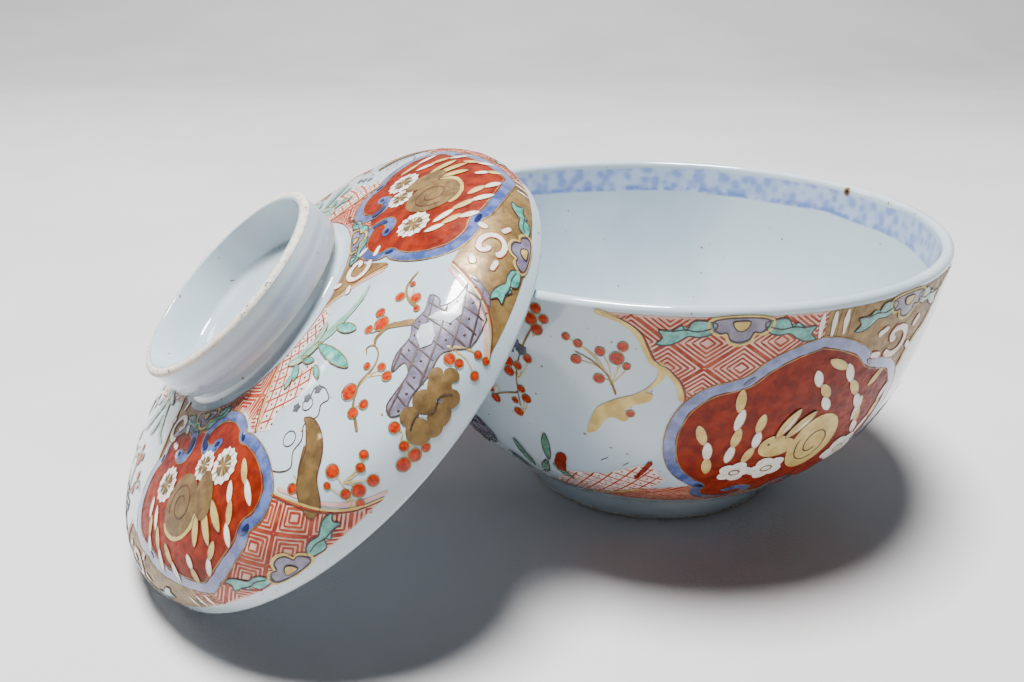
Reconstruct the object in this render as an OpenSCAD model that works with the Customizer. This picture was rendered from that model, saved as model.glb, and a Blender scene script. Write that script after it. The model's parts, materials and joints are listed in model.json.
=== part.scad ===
// Porcelain rice bowl with its domed lid.
//
// Two thrown and turned pieces, each with its foot trimmed from the same clay.
// The bowl stands on the table. The lid has been lifted off and leans on it: one
// point of the lid's rim is on the table and the bowl's lip props it from inside.
// Origin: centre of the bowl's foot, on the table. +Z up. The lid leans along -X.

/* [Bowl] */
// Outer radius of the bowl at its lip
bowl_rim_r = 59; // [50:1:71]
// Height of the bowl, foot included
bowl_h = 59.6; // [50:0.2:72]
// Thickness of the rounded lip
bowl_lip_t = 2.5; // [2:0.1:3]
// Thickness of the wall where it leaves the foot
bowl_wall_t = 4; // [3:0.1:5]
// Thickness of the floor inside the foot ring
bowl_floor_t = 4.2; // [3:0.1:5.5]
// Angle at which the wall leaves the foot, from level
bowl_wall_rise = 37.5; // [31:0.5:44]
// How far the wall keeps that angle: larger makes a rounder belly
bowl_belly = 16; // [13:0.5:20]
// Outward lean of the wall at the lip, from upright
bowl_flare = 6.6; // [4:0.2:10]
// How far down from the lip the wall stays nearly upright
bowl_upright = 37.5; // [31:0.5:43]

/* [Bowl foot] */
// Radius where the outside wall meets the foot ring
bowl_foot_r = 32.6; // [27:0.2:39]
// Height of the foot ring
bowl_foot_h = 6.6; // [5.4:0.2:8]
// How much smaller the ring is at the table than at the wall
bowl_foot_taper = 3.4; // [1:0.2:5]
// Thickness of the ring where it stands
bowl_foot_t = 4; // [3:0.5:5]
// Depth of the recess inside the ring
bowl_recess_h = 5.4; // [4.5:0.1:6.4]

/* [Lid] */
// How far the lid's rim sits inside the bowl's mouth when the bowl is closed
lid_seat_gap = 4.1; // [2:0.1:6]
// Height of the dome from its rim to the foot of the knob ring
lid_dome_h = 19.4; // [16.2:0.1:23.3]
// Fullness of the dome: 2 is an ellipse, larger gives a tighter shoulder
lid_fullness = 2.8; // [2.3:0.1:3.4]
// Thickness of the lid's rim
lid_lip_t = 2.3; // [2:0.1:2.8]
// Thickness of the lid's crown
lid_crown_t = 3.2; // [2.6:0.1:4]

/* [Knob ring] */
// Outer radius of the ring's standing rim
knob_r = 21.5; // [18:0.1:26]
// Height of the ring above the crown
knob_h = 9.9; // [8.2:0.1:11.9]
// Thickness of the ring's rim
knob_t = 2; // [1.6:0.1:2.4]
// Height of the thicker band below the rim
knob_band_h = 6.4; // [5.4:0.1:7.6]
// How much narrower the ring's neck is than its rim
knob_neck_in = 1.7; // [1.4:0.1:2.2]
// Depth of the recess inside the ring
knob_recess_h = 8.2; // [7:0.1:9.8]

/* [Resting pose] */
// How far up the lid's slope the bowl's lip props it, as a share of the rim's radius
prop_share = 0.652; // [0.55:0.002:0.78]
// Gap between the lid's rim and the bowl's lip
lean_gap = 0.25; // [0.1:0.05:1]

/* [Hidden] */
$fn = 96;

glaze_white = "#d6e0e4";
wall_steps = 18;
floor_steps = 8;
dome_steps = 22;
lip_steps = 8;
corner_steps = 4;
edge_r = 0.8;
foot_fillet = 1.6;
neck_fillet = 1.2;
// The floor's curve: its reach as a share of the radius, and of that at the wall.
well_spread = 0.4;
well_rise = 0.8;
// Share of the foot ring's taper that is left at half its height.
foot_waist = 1 / 3;
// The knob ring's band: how it rounds over, and how much smaller it is at its lower edge.
knob_bulge = 5;
knob_bulge_angle = 20;
knob_band_in = 0.5;
// How much the recess in the knob ring narrows towards its floor.
knob_taper = 1.6;

// Cubic curve through a and d, leaving a towards b and reaching d from c.
function curve(a, b, c, d, t) =
    pow(1 - t, 3) * a + 3 * t * pow(1 - t, 2) * b + 3 * t * t * (1 - t) * c + pow(t, 3) * d;
function curve_slope(a, b, c, d, t) =
    pow(1 - t, 2) * (b - a) + 2 * t * (1 - t) * (c - b) + t * t * (d - c);
// Unit vector to the left of direction v.
function left(v) = [-v[1], v[0]] / norm(v);
// Points on a circle from angle a0 to angle a1.
function arc(c, r, a0, a1, n) =
    [for (i = [0:n]) c + r * [cos(a0 + (a1 - a0) * i / n), sin(a0 + (a1 - a0) * i / n)]];

// ---- Bowl ----

// Outside of the wall, from the foot ring up to the lip.
wall_0 = [bowl_foot_r, bowl_foot_h];
wall_1 = wall_0 + bowl_belly * [cos(bowl_wall_rise), sin(bowl_wall_rise)];
wall_3 = [bowl_rim_r, bowl_h - bowl_lip_t / 2];
wall_2 = wall_3 - bowl_upright * [sin(bowl_flare), cos(bowl_flare)];

function wall_outside(t) = curve(wall_0, wall_1, wall_2, wall_3, t);
function wall_thickness(t) = bowl_wall_t + (bowl_lip_t - bowl_wall_t) * t;
function wall_inside(t) =
    wall_outside(t) + wall_thickness(t) * left(curve_slope(wall_0, wall_1, wall_2, wall_3, t));

// Inside of the floor, from the centre out to the wall.
well_0 = [0, bowl_recess_h + bowl_floor_t];
well_3 = wall_inside(0);
well_reach = well_3[0] * well_spread;
well_1 = well_0 + [well_reach, 0];
well_2 = well_3 - well_reach * well_rise * [cos(bowl_wall_rise), sin(bowl_wall_rise)];
function well(t) = curve(well_0, well_1, well_2, well_3, t);

// The ring that the bowl stands on, drawn from the wall's foot to the recess.
foot_out = bowl_foot_r - bowl_foot_taper;
foot_in = foot_out - bowl_foot_t;
function foot_ring() = concat(
    arc([foot_in + edge_r, edge_r], edge_r, 180, 270, corner_steps),
    arc([foot_out - edge_r, edge_r], edge_r, 270, 360, corner_steps),
    [[foot_out + bowl_foot_taper * foot_waist, bowl_foot_h / 2]]
);

function bowl_profile() = concat(
    [[0, bowl_recess_h], [foot_in - foot_fillet, bowl_recess_h]],
    arc([foot_in - foot_fillet, bowl_recess_h - foot_fillet], foot_fillet, 90, 0, corner_steps),
    foot_ring(),
    [for (i = [0:wall_steps]) wall_outside(i / wall_steps)],
    arc(wall_3 - [bowl_lip_t / 2, 0], bowl_lip_t / 2, 0, 180, lip_steps),
    [for (i = [wall_steps - 1:-1:0]) wall_inside(i / wall_steps)],
    [for (i = [floor_steps - 1:-1:0]) well(i / floor_steps)]
);

module bowl() {
    color(glaze_white) rotate_extrude() polygon(bowl_profile());
}

// ---- Lid ----

// The closed lid sits on the inside of the bowl's mouth.
lid_r = bowl_rim_r - bowl_lip_t - lid_seat_gap;
crown_z = lid_dome_h;
lip_z = lid_lip_t / 2;
knob_top = crown_z + knob_h;
knob_in_r = knob_r - knob_t;
neck_r = knob_r - knob_neck_in;
band_r = knob_r - knob_band_in;
band_z = knob_top - knob_band_h;
recess_z = knob_top - knob_recess_h;

// Superellipse dome of radius r and height h above the lip, at angle a from the rim.
function dome(r, h, a) =
    [r * pow(cos(a), 2 / lid_fullness), lip_z + h * pow(sin(a), 2 / lid_fullness)];
// Angle at which the dome narrows to radius r_at.
function dome_angle(r, r_at) = acos(pow(r_at / r, lid_fullness / 2));

dome_end = dome_angle(lid_r, neck_r + neck_fillet);
function dome_outside(t) = dome(lid_r, crown_z - lip_z, dome_end * t);
function dome_inside(t) =
    dome(lid_r - lid_lip_t, crown_z - lid_crown_t - lip_z, 90 * t);

// The ring that serves as a knob, and as a foot when the lid lies upside down.
neck_z = dome_outside(1)[1];
function knob_ring() = concat(
    arc([neck_r + neck_fillet, neck_z + neck_fillet], neck_fillet, 270, 180, corner_steps),
    [[neck_r, band_z]],
    arc([band_r - edge_r, band_z + edge_r], edge_r, -90, -knob_bulge_angle, corner_steps),
    arc([knob_r - knob_bulge, knob_top - edge_r - knob_bulge], knob_bulge, -knob_bulge_angle, 0, corner_steps),
    arc([knob_r - edge_r, knob_top - edge_r], edge_r, 0, 90, corner_steps),
    arc([knob_in_r + edge_r / 2, knob_top - edge_r / 2], edge_r / 2, 90, 180, corner_steps),
    arc([knob_in_r - knob_taper - foot_fillet, recess_z + foot_fillet], foot_fillet, 0, -90, corner_steps)
);

function lid_profile() = concat(
    arc([lid_r - lip_z, lip_z], lip_z, 180, 360, lip_steps),
    [for (i = [1:dome_steps]) dome_outside(i / dome_steps)],
    knob_ring(),
    [[0, recess_z]],
    [for (i = [dome_steps:-1:1]) dome_inside(i / dome_steps)]
);

// ---- Where the lid leans ----

// Tilt of the lid's rim from level, to the nearest 0.01 degree.
lip_ring_r = lid_r - lip_z;
lean = round(asin((wall_3[1] - lip_z) / (lip_ring_r * (1 + prop_share))) * 100) / 100;
// Its lip touches the table at the lowest point of its rim.
lid_z = lip_ring_r * sin(lean) + lip_z * (1 - cos(lean));
// The two lips cross at the height of the bowl's lip, this far up the lid's slope.
cross_up = (wall_3[1] - lid_z - lip_z * cos(lean)) / sin(lean);
cross_y = sqrt(pow(lip_ring_r, 2) - pow(cross_up, 2));
// They cross at a slant, so the level distance between them is more than the gap.
bowl_ring_r = bowl_rim_r - bowl_lip_t / 2;
lips_apart = lip_z + bowl_lip_t / 2 + lean_gap;
turn = asin(cross_y / (bowl_ring_r + 2 * lips_apart));
along = (cross_up * cos(turn) - cross_y * cos(lean) * sin(turn)) / lip_ring_r;
climb = cross_y * sin(lean) / lip_ring_r;
cross_r = bowl_ring_r + lips_apart * sqrt(1 - along * along) / climb;
lid_x = -sqrt(pow(cross_r, 2) - pow(cross_y, 2)) - cross_up * cos(lean) + lip_z * sin(lean);

module lid() {
    color(glaze_white)
        translate([lid_x, 0, lid_z])
            rotate([0, -lean, 0])
                rotate_extrude() polygon(lid_profile());
}

bowl();
lid();
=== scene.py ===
"""Looks of the lidded rice bowl: porcelain painted in underglaze blue, iron red, gold and enamels.

Painting is laid on each pot by angle round its axis, in degrees, and by distance along its outside
wall from the lip, in millimetres. Coats lie a few hundredths of a millimetre apart, as fired enamel does.
"""
import json
import math
import random
from bisect import bisect_right

import bpy
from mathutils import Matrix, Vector
from mathutils.bvhtree import BVHTree
from mathutils.geometry import delaunay_2d_cdt


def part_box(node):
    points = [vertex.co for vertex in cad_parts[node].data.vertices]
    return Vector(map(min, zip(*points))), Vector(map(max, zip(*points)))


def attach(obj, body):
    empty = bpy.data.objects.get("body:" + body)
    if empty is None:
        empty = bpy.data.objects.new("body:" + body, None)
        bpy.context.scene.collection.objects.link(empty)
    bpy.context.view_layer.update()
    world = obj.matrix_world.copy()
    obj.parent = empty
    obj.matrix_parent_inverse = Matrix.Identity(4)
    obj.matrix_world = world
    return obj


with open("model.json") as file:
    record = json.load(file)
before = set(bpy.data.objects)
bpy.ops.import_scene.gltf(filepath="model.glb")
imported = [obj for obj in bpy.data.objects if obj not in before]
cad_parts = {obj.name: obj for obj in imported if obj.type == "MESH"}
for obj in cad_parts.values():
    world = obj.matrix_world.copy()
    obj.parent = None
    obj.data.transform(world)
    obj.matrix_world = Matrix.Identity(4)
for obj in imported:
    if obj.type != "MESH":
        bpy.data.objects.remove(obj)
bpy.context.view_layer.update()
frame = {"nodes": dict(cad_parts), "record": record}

MM = 0.001
COAT = 0.035            # mm from one coat of paint to the next
FIRST_COAT = 0.045      # mm from the glaze to the lowest coat
FILL_STEP = 1.5         # mm between the points inside a filled shape
WAVER = ((0.1, 0.9), (0.06, 2.3))   # how a brush line swells: share of its width, radians for each mm
BLUNT = 0.08            # how blunt a line's round ends are, as a share of half its width
THIRDS = (0, 120, 240)  # the painting repeats three times round each pot
PANEL_APART = 60        # degrees from the middle of a cartouche to the middle of the next white panel
WALL_RAYS = 260         # rays that feel out the wall of a pot
RAY_TURN = 1 / 3        # degrees from one ray to the next
OUTSIDE = 0.2           # m from the axis, where a ray starts

# ---------------------------------------------------------------- the pots


class Pot:
    """The outside wall of one turned pot, measured on its CAD node."""

    def __init__(self, node, origin, axis, zero, level, climb, last):
        """zero: direction of angle 0. level: mm along the axis to the start of the wall. climb: +1 if
        the wall then rises along the axis, -1 if it falls. last: radius in mm where the painting ends."""
        self.body = node
        self.origin = origin
        self.axis = axis
        self.zero = zero
        self.side = axis.cross(zero)
        self.climb = climb
        self.radii, self.heights = self._profile(frame["nodes"][node].data, level, last)
        self.lengths = [0.0]
        for i in range(1, len(self.radii)):
            dr, dh = self.radii[i] - self.radii[i - 1], self.heights[i] - self.heights[i - 1]
            self.lengths.append(self.lengths[-1] + math.hypot(dr, dh))

    def _profile(self, mesh, level, last):
        tree = BVHTree.FromPolygons([v.co for v in mesh.vertices], [p.vertices[:] for p in mesh.polygons])
        centre = self.origin + self.axis * level * MM
        radii, heights = [], []
        for i in range(WALL_RAYS):
            angle = math.radians(i * RAY_TURN)
            out = self.zero * math.cos(angle) + self.axis * (self.climb * math.sin(angle))
            hit = tree.ray_cast(centre + out * OUTSIDE, -out)[0] - self.origin
            if hit.dot(self.zero) / MM < last:
                break
            radii.append(hit.dot(self.zero) / MM)
            heights.append(hit.dot(self.axis) / MM)
        return radii, heights

    def _place(self, s):
        i = min(max(bisect_right(self.lengths, s) - 1, 0), len(self.lengths) - 2)
        span = self.lengths[i + 1] - self.lengths[i]
        t = (s - self.lengths[i]) / span
        dr = self.radii[i + 1] - self.radii[i]
        dh = self.heights[i + 1] - self.heights[i]
        normal = (self.climb * dh / span, -self.climb * dr / span)
        return self.radii[i] + dr * t, self.heights[i] + dh * t, normal

    def per_degree(self, s):
        """Millimetres along the wall for one degree at distance s."""
        return math.radians(self._place(s)[0])

    def at(self, phi, s, lift):
        """The point in metres at angle phi and distance s, lift mm above the glaze."""
        r, h, (nr, nh) = self._place(s)
        angle = math.radians(phi)
        radial = self.zero * math.cos(angle) + self.side * math.sin(angle)
        return self.origin + (radial * (r + nr * lift) + self.axis * (h + nh * lift)) * MM


mounts = {m["name"]: m for m in frame["record"]["mounts"]}
LIP_BEAD = 1.25         # mm, half the thickness of the bowl's lip
LID_BEAD = 1.15         # mm, half the thickness of the lid's rim
bowl_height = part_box("bowl")[1].z / MM
lid_axis = Vector(mounts["lid_foot"]["axis"]).normalized()
knob_rim = Vector(mounts["lid_foot"]["pos_m"])
lid_low = min(v.co.dot(lid_axis) for v in frame["nodes"]["lid"].data.vertices)
lid_height = (knob_rim.dot(lid_axis) - lid_low) / MM
lid_centre = knob_rim - lid_axis * lid_height * MM

bowl_pot = Pot("bowl", Vector((0, 0, 0)), Vector((0, 0, 1)), Vector((1, 0, 0)),
               bowl_height - LIP_BEAD, -1, 32.9)
lid_pot = Pot("lid", lid_centre, lid_axis, Vector((lid_axis.z, 0, -lid_axis.x)), LID_BEAD, 1, 22.2)

# ---------------------------------------------------------------- brushwork


class Painting:
    """The painted shapes of one pot, gathered into one mesh for each colour."""

    def __init__(self, pot, seed):
        self.pot = pot
        self.hand = random.Random(seed)
        self.coats = {}

    def lay(self, colour, points, faces):
        verts, polys = self.coats.setdefault(colour, ([], []))
        start = len(verts)
        verts.extend(self.pot.at(*p) for p in points)
        for face in faces:
            if signed_area([points[i] for i in face]) * self.pot.climb < 0:
                face = face[::-1]
            polys.append([start + i for i in face])


def signed_area(points):
    return sum(points[i - 1][0] * points[i][1] - points[i][0] * points[i - 1][1] for i in range(len(points)))


def lift_of(coat):
    return FIRST_COAT + COAT * coat


def smooth(points, closed=False, per=6):
    """A round curve through given points."""
    n = len(points)
    out = []
    for i in range(n if closed else n - 1):
        near = [j % n if closed else min(max(j, 0), n - 1) for j in range(i - 1, i + 3)]
        a, b, c, d = (points[j] for j in near)
        for k in range(per):
            t = k / per
            out.append(tuple(
                0.5 * (2 * b[m] + (c[m] - a[m]) * t + (2 * a[m] - 5 * b[m] + 4 * c[m] - d[m]) * t * t
                       + (3 * b[m] - a[m] - 3 * c[m] + d[m]) * t ** 3) for m in (0, 1)))
    if not closed:
        out.append(tuple(points[-1]))
    return out


def mirrored(half):
    """A closed outline from its right half, which starts and ends on the line of symmetry."""
    return half + [(-x, y) for x, y in reversed(half[1:-1])]


def moved(points, phi, s=0.0, flip=1):
    return [(phi + flip * x, s + y) for x, y in points]


def is_inside(x, y, ring):
    hit = False
    for i in range(len(ring)):
        (x0, y0), (x1, y1) = ring[i - 1], ring[i]
        if (y0 > y) != (y1 > y) and x < (x1 - x0) * (y - y0) / (y1 - y0) + x0:
            hit = not hit
    return hit


def fill(art, colour, outline, coat):
    """A filled shape whose outline is in degrees and mm."""
    k = art.pot.per_degree(sum(s for _, s in outline) / len(outline))
    ring = [(phi * k, s) for phi, s in outline]
    xs, ys = [p[0] for p in ring], [p[1] for p in ring]
    inner = []
    for i in range(1, int((max(ys) - min(ys)) / FILL_STEP) + 1):
        for j in range(1, int((max(xs) - min(xs)) / FILL_STEP) + 1):
            x = min(xs) + FILL_STEP * (j - 0.5 * (i % 2))
            y = min(ys) + FILL_STEP * i
            if is_inside(x, y, ring):
                inner.append((x, y))
    n = len(ring)
    edges = [(i, (i + 1) % n) for i in range(n)]
    flat = [Vector(p) for p in ring + inner]
    points, _, faces, origins, _, _ = delaunay_2d_cdt(flat, edges, [list(range(n))], 1, 1e-4)
    placed = []
    for p, source in zip(points, origins):
        on_edge = not source or min(source) < n
        placed.append((p.x / k, p.y, lift_of(coat) + (0 if on_edge else COAT * 0.4)))
    art.lay(colour, placed, [list(f) for f in faces])


def stroke(art, colour, path, width, coat, closed=False, taper=None):
    """A brush line along path, in degrees and mm, width mm wide, with round ends."""
    pot, n = art.pot, len(path)
    if n < 2:
        return
    scale = [pot.per_degree(s) for _, s in path]
    run = [0.0]
    for i in range(1, n):
        dx, dy = (path[i][0] - path[i - 1][0]) * scale[i], path[i][1] - path[i - 1][1]
        run.append(run[-1] + math.hypot(dx, dy))
    phase = art.hand.uniform(0, 6.28)
    rows = []
    for i, (phi, s) in enumerate(path):
        before = path[i - 1] if i or closed else path[i]
        after = path[(i + 1) % n] if i < n - 1 or closed else path[i]
        dx, dy = (after[0] - before[0]) * scale[i], after[1] - before[1]
        length = math.hypot(dx, dy) or 1.0
        swell = [share * math.sin(run[i] * rate + phase) for share, rate in WAVER]
        half = width / 2 * (1 + sum(swell))
        if taper:
            half *= taper(run[i] / run[-1])
        if not closed:
            near_end = min(run[i], run[-1] - run[i]) / (width / 2)
            half *= math.sqrt(1 - (1 - min(near_end + BLUNT, 1)) ** 2)
        ox, oy = -dy / length * half / scale[i], dx / length * half
        lift = lift_of(coat)
        rows.append([(phi + ox, s + oy, lift), (phi, s, lift + COAT * 0.5), (phi - ox, s - oy, lift)])
    faces = []
    for i in range(n if closed else n - 1):
        a, b = 3 * i, 3 * ((i + 1) % n)
        faces += [[a, a + 1, b + 1, b], [a + 1, a + 2, b + 2, b + 1]]
    art.lay(colour, [p for row in rows for p in row], faces)


def around(art, phi, s, points, turn=0.0, scale=1.0):
    """Places a small motif, drawn in mm round its own centre, at angle phi and distance s."""
    k = art.pot.per_degree(s)
    c, d = math.cos(math.radians(turn)) * scale, math.sin(math.radians(turn)) * scale
    return [(phi + (x * c - y * d) / k, s + x * d + y * c) for x, y in points]


def disc(art, colour, phi, s, outline, coat, turn=0.0, scale=1.0):
    """A small filled motif, higher in the middle, as thick enamel dries."""
    edge = around(art, phi, s, outline, turn, scale)
    shelf = around(art, phi, s, [(x * 0.6, y * 0.6) for x, y in outline], turn, scale)
    n = len(edge)
    lift = lift_of(coat)
    points = [(*p, lift) for p in edge] + [(*p, lift + COAT * 0.9) for p in shelf]
    points.append((*around(art, phi, s, [(0, 0)], turn, scale)[0], lift + COAT * 1.1))
    faces = []
    for i in range(n):
        j = (i + 1) % n
        faces += [[i, j, n + j, n + i], [n + i, n + j, 2 * n]]
    art.lay(colour, points, faces)


def rim(art, colour, phi, s, outline, width, coat, turn=0.0, scale=1.0):
    """A fine closed line along the edge of a small motif."""
    stroke(art, colour, around(art, phi, s, outline, turn, scale), width, coat, closed=True)


def patch(art, colour, phi, points, coat, line=None, width=0.22):
    """A rounded shape filled from given points, with a line round it if one is named."""
    outline = smooth(moved(points, phi), True, 3)
    fill(art, colour, outline, coat)
    if line:
        stroke(art, line, outline, width, coat + 1, closed=True)
    return outline


def oval(width, height, n=14):
    turns = [2 * math.pi * i / n for i in range(n)]
    return [(width / 2 * math.cos(a), height / 2 * math.sin(a)) for a in turns]


def lens(length, width, n=14):
    """A leaf with pointed ends, along x."""
    out = []
    for i in range(n):
        a = 2 * math.pi * i / n
        out.append((length / 2 * math.cos(a), width / 2 * math.sin(a) * abs(math.sin(a)) ** 0.35))
    return out


def scalloped(radius, petals, depth, n=6):
    out = []
    for i in range(petals * n):
        a = 2 * math.pi * i / (petals * n)
        reach = radius * (1 - depth * abs(math.cos(a * petals / 2)))
        out.append((reach * math.cos(a), reach * math.sin(a)))
    return out


def arc_path(radius, start, end, squash=1.0, step=15):
    n = max(3, int(abs(end - start) / step))
    turns = [math.radians(start + (end - start) * i / n) for i in range(n + 1)]
    return [(radius * math.cos(a), radius * squash * math.sin(a)) for a in turns]


def arc_points(x, s, rx, rs, start, end, n=10):
    """Part of an ellipse round x, s, with its reach rx in degrees and rs in mm."""
    out = []
    for i in range(n + 1):
        a = math.radians(start + (end - start) * i / n)
        out.append((x + rx * math.cos(a), s + rs * math.sin(a)))
    return out


def densely(outline, step=1.2):
    """The same outline with a point at least every step degrees or mm."""
    out = []
    for i in range(len(outline)):
        (x0, y0), (x1, y1) = outline[i - 1], outline[i]
        n = max(1, int(max(abs(x1 - x0), abs(y1 - y0)) / step))
        out += [(x0 + (x1 - x0) * j / n, y0 + (y1 - y0) * j / n) for j in range(1, n + 1)]
    return out


def clipped(path, region, step=0.5):
    """The stretches of a straight or broken line that lie inside region. Both are flat, in mm."""
    runs, run = [], []
    for (x0, y0), (x1, y1) in zip(path, path[1:]):
        n = max(1, int(math.hypot(x1 - x0, y1 - y0) / step))
        for i in range(n + 1):
            x, y = x0 + (x1 - x0) * i / n, y0 + (y1 - y0) * i / n
            if is_inside(x, y, region):
                run.append((x, y))
            elif len(run) > 1:
                runs.append(run)
                run = []
            else:
                run = []
    if len(run) > 1:
        runs.append(run)
    return runs


class Flat:
    """A region laid flat in mm, so that patterns can be ruled across it."""

    def __init__(self, art, outline):
        self.k = art.pot.per_degree(sum(s for _, s in outline) / len(outline))
        self.ring = [(phi * self.k, s) for phi, s in outline]
        xs, ys = [p[0] for p in self.ring], [p[1] for p in self.ring]
        self.low, self.high = (min(xs), min(ys)), (max(xs), max(ys))

    def back(self, points):
        return [(x / self.k, y) for x, y in points]

    def lines(self, angle, gap):
        """Parallel lines across the region at that angle."""
        c, s = math.cos(math.radians(angle)), math.sin(math.radians(angle))
        mx, my = (self.low[0] + self.high[0]) / 2, (self.low[1] + self.high[1]) / 2
        reach = math.hypot(self.high[0] - self.low[0], self.high[1] - self.low[1]) / 2
        out = []
        for i in range(-int(reach / gap), int(reach / gap) + 1):
            x, y = mx - s * gap * i, my + c * gap * i
            out += clipped([(x - c * reach, y - s * reach), (x + c * reach, y + s * reach)], self.ring)
        return [self.back(run) for run in out]

    def crossings(self, angle_a, angle_b, gap):
        """The middles of the cells between two sets of lines."""
        mx, my = (self.low[0] + self.high[0]) / 2, (self.low[1] + self.high[1]) / 2
        ca, sa = math.cos(math.radians(angle_a)), math.sin(math.radians(angle_a))
        cb, sb = math.cos(math.radians(angle_b)), math.sin(math.radians(angle_b))
        cell = gap / abs(ca * sb - sa * cb)
        out = []
        for i in range(-30, 31):
            for j in range(-30, 31):
                x = mx + cell * ((i + 0.5) * ca + (j + 0.5) * cb)
                y = my + cell * ((i + 0.5) * sa + (j + 0.5) * sb)
                if is_inside(x, y, self.ring):
                    out.append((x / self.k, y))
        return out

# ---------------------------------------------------------------- motifs


def outlined(art, colour, phi, s, outline, coat, turn=0.0, scale=1.0, line="line", width=0.22):
    """A small enamel shape with a fine line round it."""
    disc(art, colour, phi, s, outline, coat, turn, scale)
    rim(art, line, phi, s, outline, width, coat + 1, turn, scale)


def berry(art, phi, s, size=1.5, coat=2):
    disc(art, "orange", phi, s, oval(size, size * 0.95), coat)
    rim(art, "gold", phi, s, oval(size * 1.12, size * 1.08), 0.18, coat + 1)


def sprig(art, phi, root, places, coat=2):
    """Berries on fine gold stems that spring from one root."""
    for x, s, size in places:
        bend = ((root[0] + x) / 2 + 0.7, (root[1] + s) / 2 - 0.4)
        stroke(art, "gold_light", moved(smooth([root, bend, (x, s)]), phi), 0.2, coat - 1)
        berry(art, phi + x, s, size, coat)


def blossom(art, phi, s, size, coat=4, petals=13):
    """A white chrysanthemum round a wide gold heart, with rays across both."""
    disc(art, "white", phi, s, scalloped(size, petals, 0.12, 4), coat)
    disc(art, "gold", phi, s, oval(size * 1.15, size * 1.15, 18), coat + 1)
    for i in range(petals):
        a = 2 * math.pi * i / petals
        ray = [(size * f * math.cos(a), size * f * math.sin(a)) for f in (0.2, 0.5, 0.86)]
        stroke(art, "line" if i % 3 else "white", around(art, phi, s, ray), 0.2, coat + 3)


def plum(art, phi, s, size, coat=4, turn=0.0):
    """A white flower of five round petals with a small gold heart."""
    k = art.pot.per_degree(s)
    for i in range(5):
        a = math.radians(72 * i + turn)
        x, y = 0.52 * size * math.cos(a), 0.52 * size * math.sin(a)
        disc(art, "white", phi + x / k, s + y, oval(size, size * 0.92, 12), coat, math.degrees(a))
    disc(art, "white", phi, s, oval(size * 1.1, size * 1.1, 12), coat + 1)
    rim(art, "gold", phi, s, oval(size * 0.6, size * 0.5), 0.34, coat + 3)


def chain(art, phi, start, end, count, first, coat=4, size=1.0):
    """Leaves end to end, white and gold by turns, from start to end in degrees from phi and mm."""
    k = art.pot.per_degree((start[1] + end[1]) / 2)
    dx, dy = (end[0] - start[0]) * k, end[1] - start[1]
    turn = math.degrees(math.atan2(dy, dx))
    length = math.hypot(dx, dy) / count * 1.12
    for i in range(count):
        t = (i + 0.5) / count
        bow = 1.1 * math.sin(math.pi * t) + art.hand.uniform(-0.25, 0.25)
        x = phi + start[0] + (end[0] - start[0]) * t + bow
        s = start[1] + (end[1] - start[1]) * t
        colour = "white" if (i + first) % 2 else "gold_light"
        swing = turn + art.hand.uniform(-9, 9)
        disc(art, colour, x, s, lens(length, 1.3 * size), coat, swing)
        rim(art, "pale", x, s, lens(length * 1.04, 1.36 * size), 0.1, coat + 1, swing)


LEAF = [(-2.8, -0.6), (-2.2, 0.6), (-1, 1), (0.2, 0.9), (1.2, 1.6), (2.3, 2.1), (3.6, 2), (2.9, 1.2),
        (3.4, 0.3), (2, 0.3), (1, -0.4), (0.5, 0.2), (-0.2, -0.9), (-1.4, -1)]
LEAF_VEIN = [(-2.2, -0.1), (-0.8, 0.3), (0.6, 0.1), (2, 0.4)]
HALF_FLOWER = [(-3.2, -0.6), (-3.5, 0.4), (-2.6, 1.3), (-1.7, 1.2), (-1.2, 2.2), (0, 2.6), (1.2, 2.2),
               (1.7, 1.2), (2.6, 1.3), (3.5, 0.4), (3.2, -0.6), (0, -0.9)]
HALF_HEART = [(-1.7, -0.5), (-1.4, 0.7), (-0.7, 1.4), (0, 1.6), (0.7, 1.4), (1.4, 0.7), (1.7, -0.5),
              (0, -0.7)]


def edge_spray(art, phi, s, up, spread=8.5, scale=1.0, coat=3):
    """Two curled turquoise leaves and a half flower that lie along an edge. up: +1 opens to larger s."""
    turn = 0 if up > 0 else 180
    wide = scale * 1.15
    flower = smooth(HALF_FLOWER, True, 3)
    disc(art, "lavender", phi, s, flower, coat, turn, wide)
    rim(art, "gold_light", phi, s, flower, 0.5, coat + 1, turn, wide)
    rim(art, "line", phi, s, flower, 0.22, coat + 3, turn, scale)
    outlined(art, "gold_light", phi, s, smooth(HALF_HEART, True, 3), coat + 3, turn, scale * 0.62)
    for side in (-1, 1):
        place = (phi + side * spread, s + 0.9 * up)
        leaf = smooth([(side * x, y) for x, y in LEAF], True, 3)
        outlined(art, "turquoise", *place, leaf, coat, turn, wide, width=0.26)
        vein = smooth([(side * x, y) for x, y in LEAF_VEIN])
        stroke(art, "line", around(art, *place, vein, turn, wide), 0.18, coat + 3)


SCROLL_END = [(-0.8, 2.2), (-1.5, 1.5), (-1.2, 0.6), (-0.4, 0.5)]
# Start of each bar, and its reach from there.
SCROLL_BARS = ((-4.9, 2.0, 1.9, 0.9), (-5.3, -1.1, 2.2, -0.4), (3.9, 1.4, 1.2, 1.6), (3.6, -1.2, 1.6, -1.3))


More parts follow.
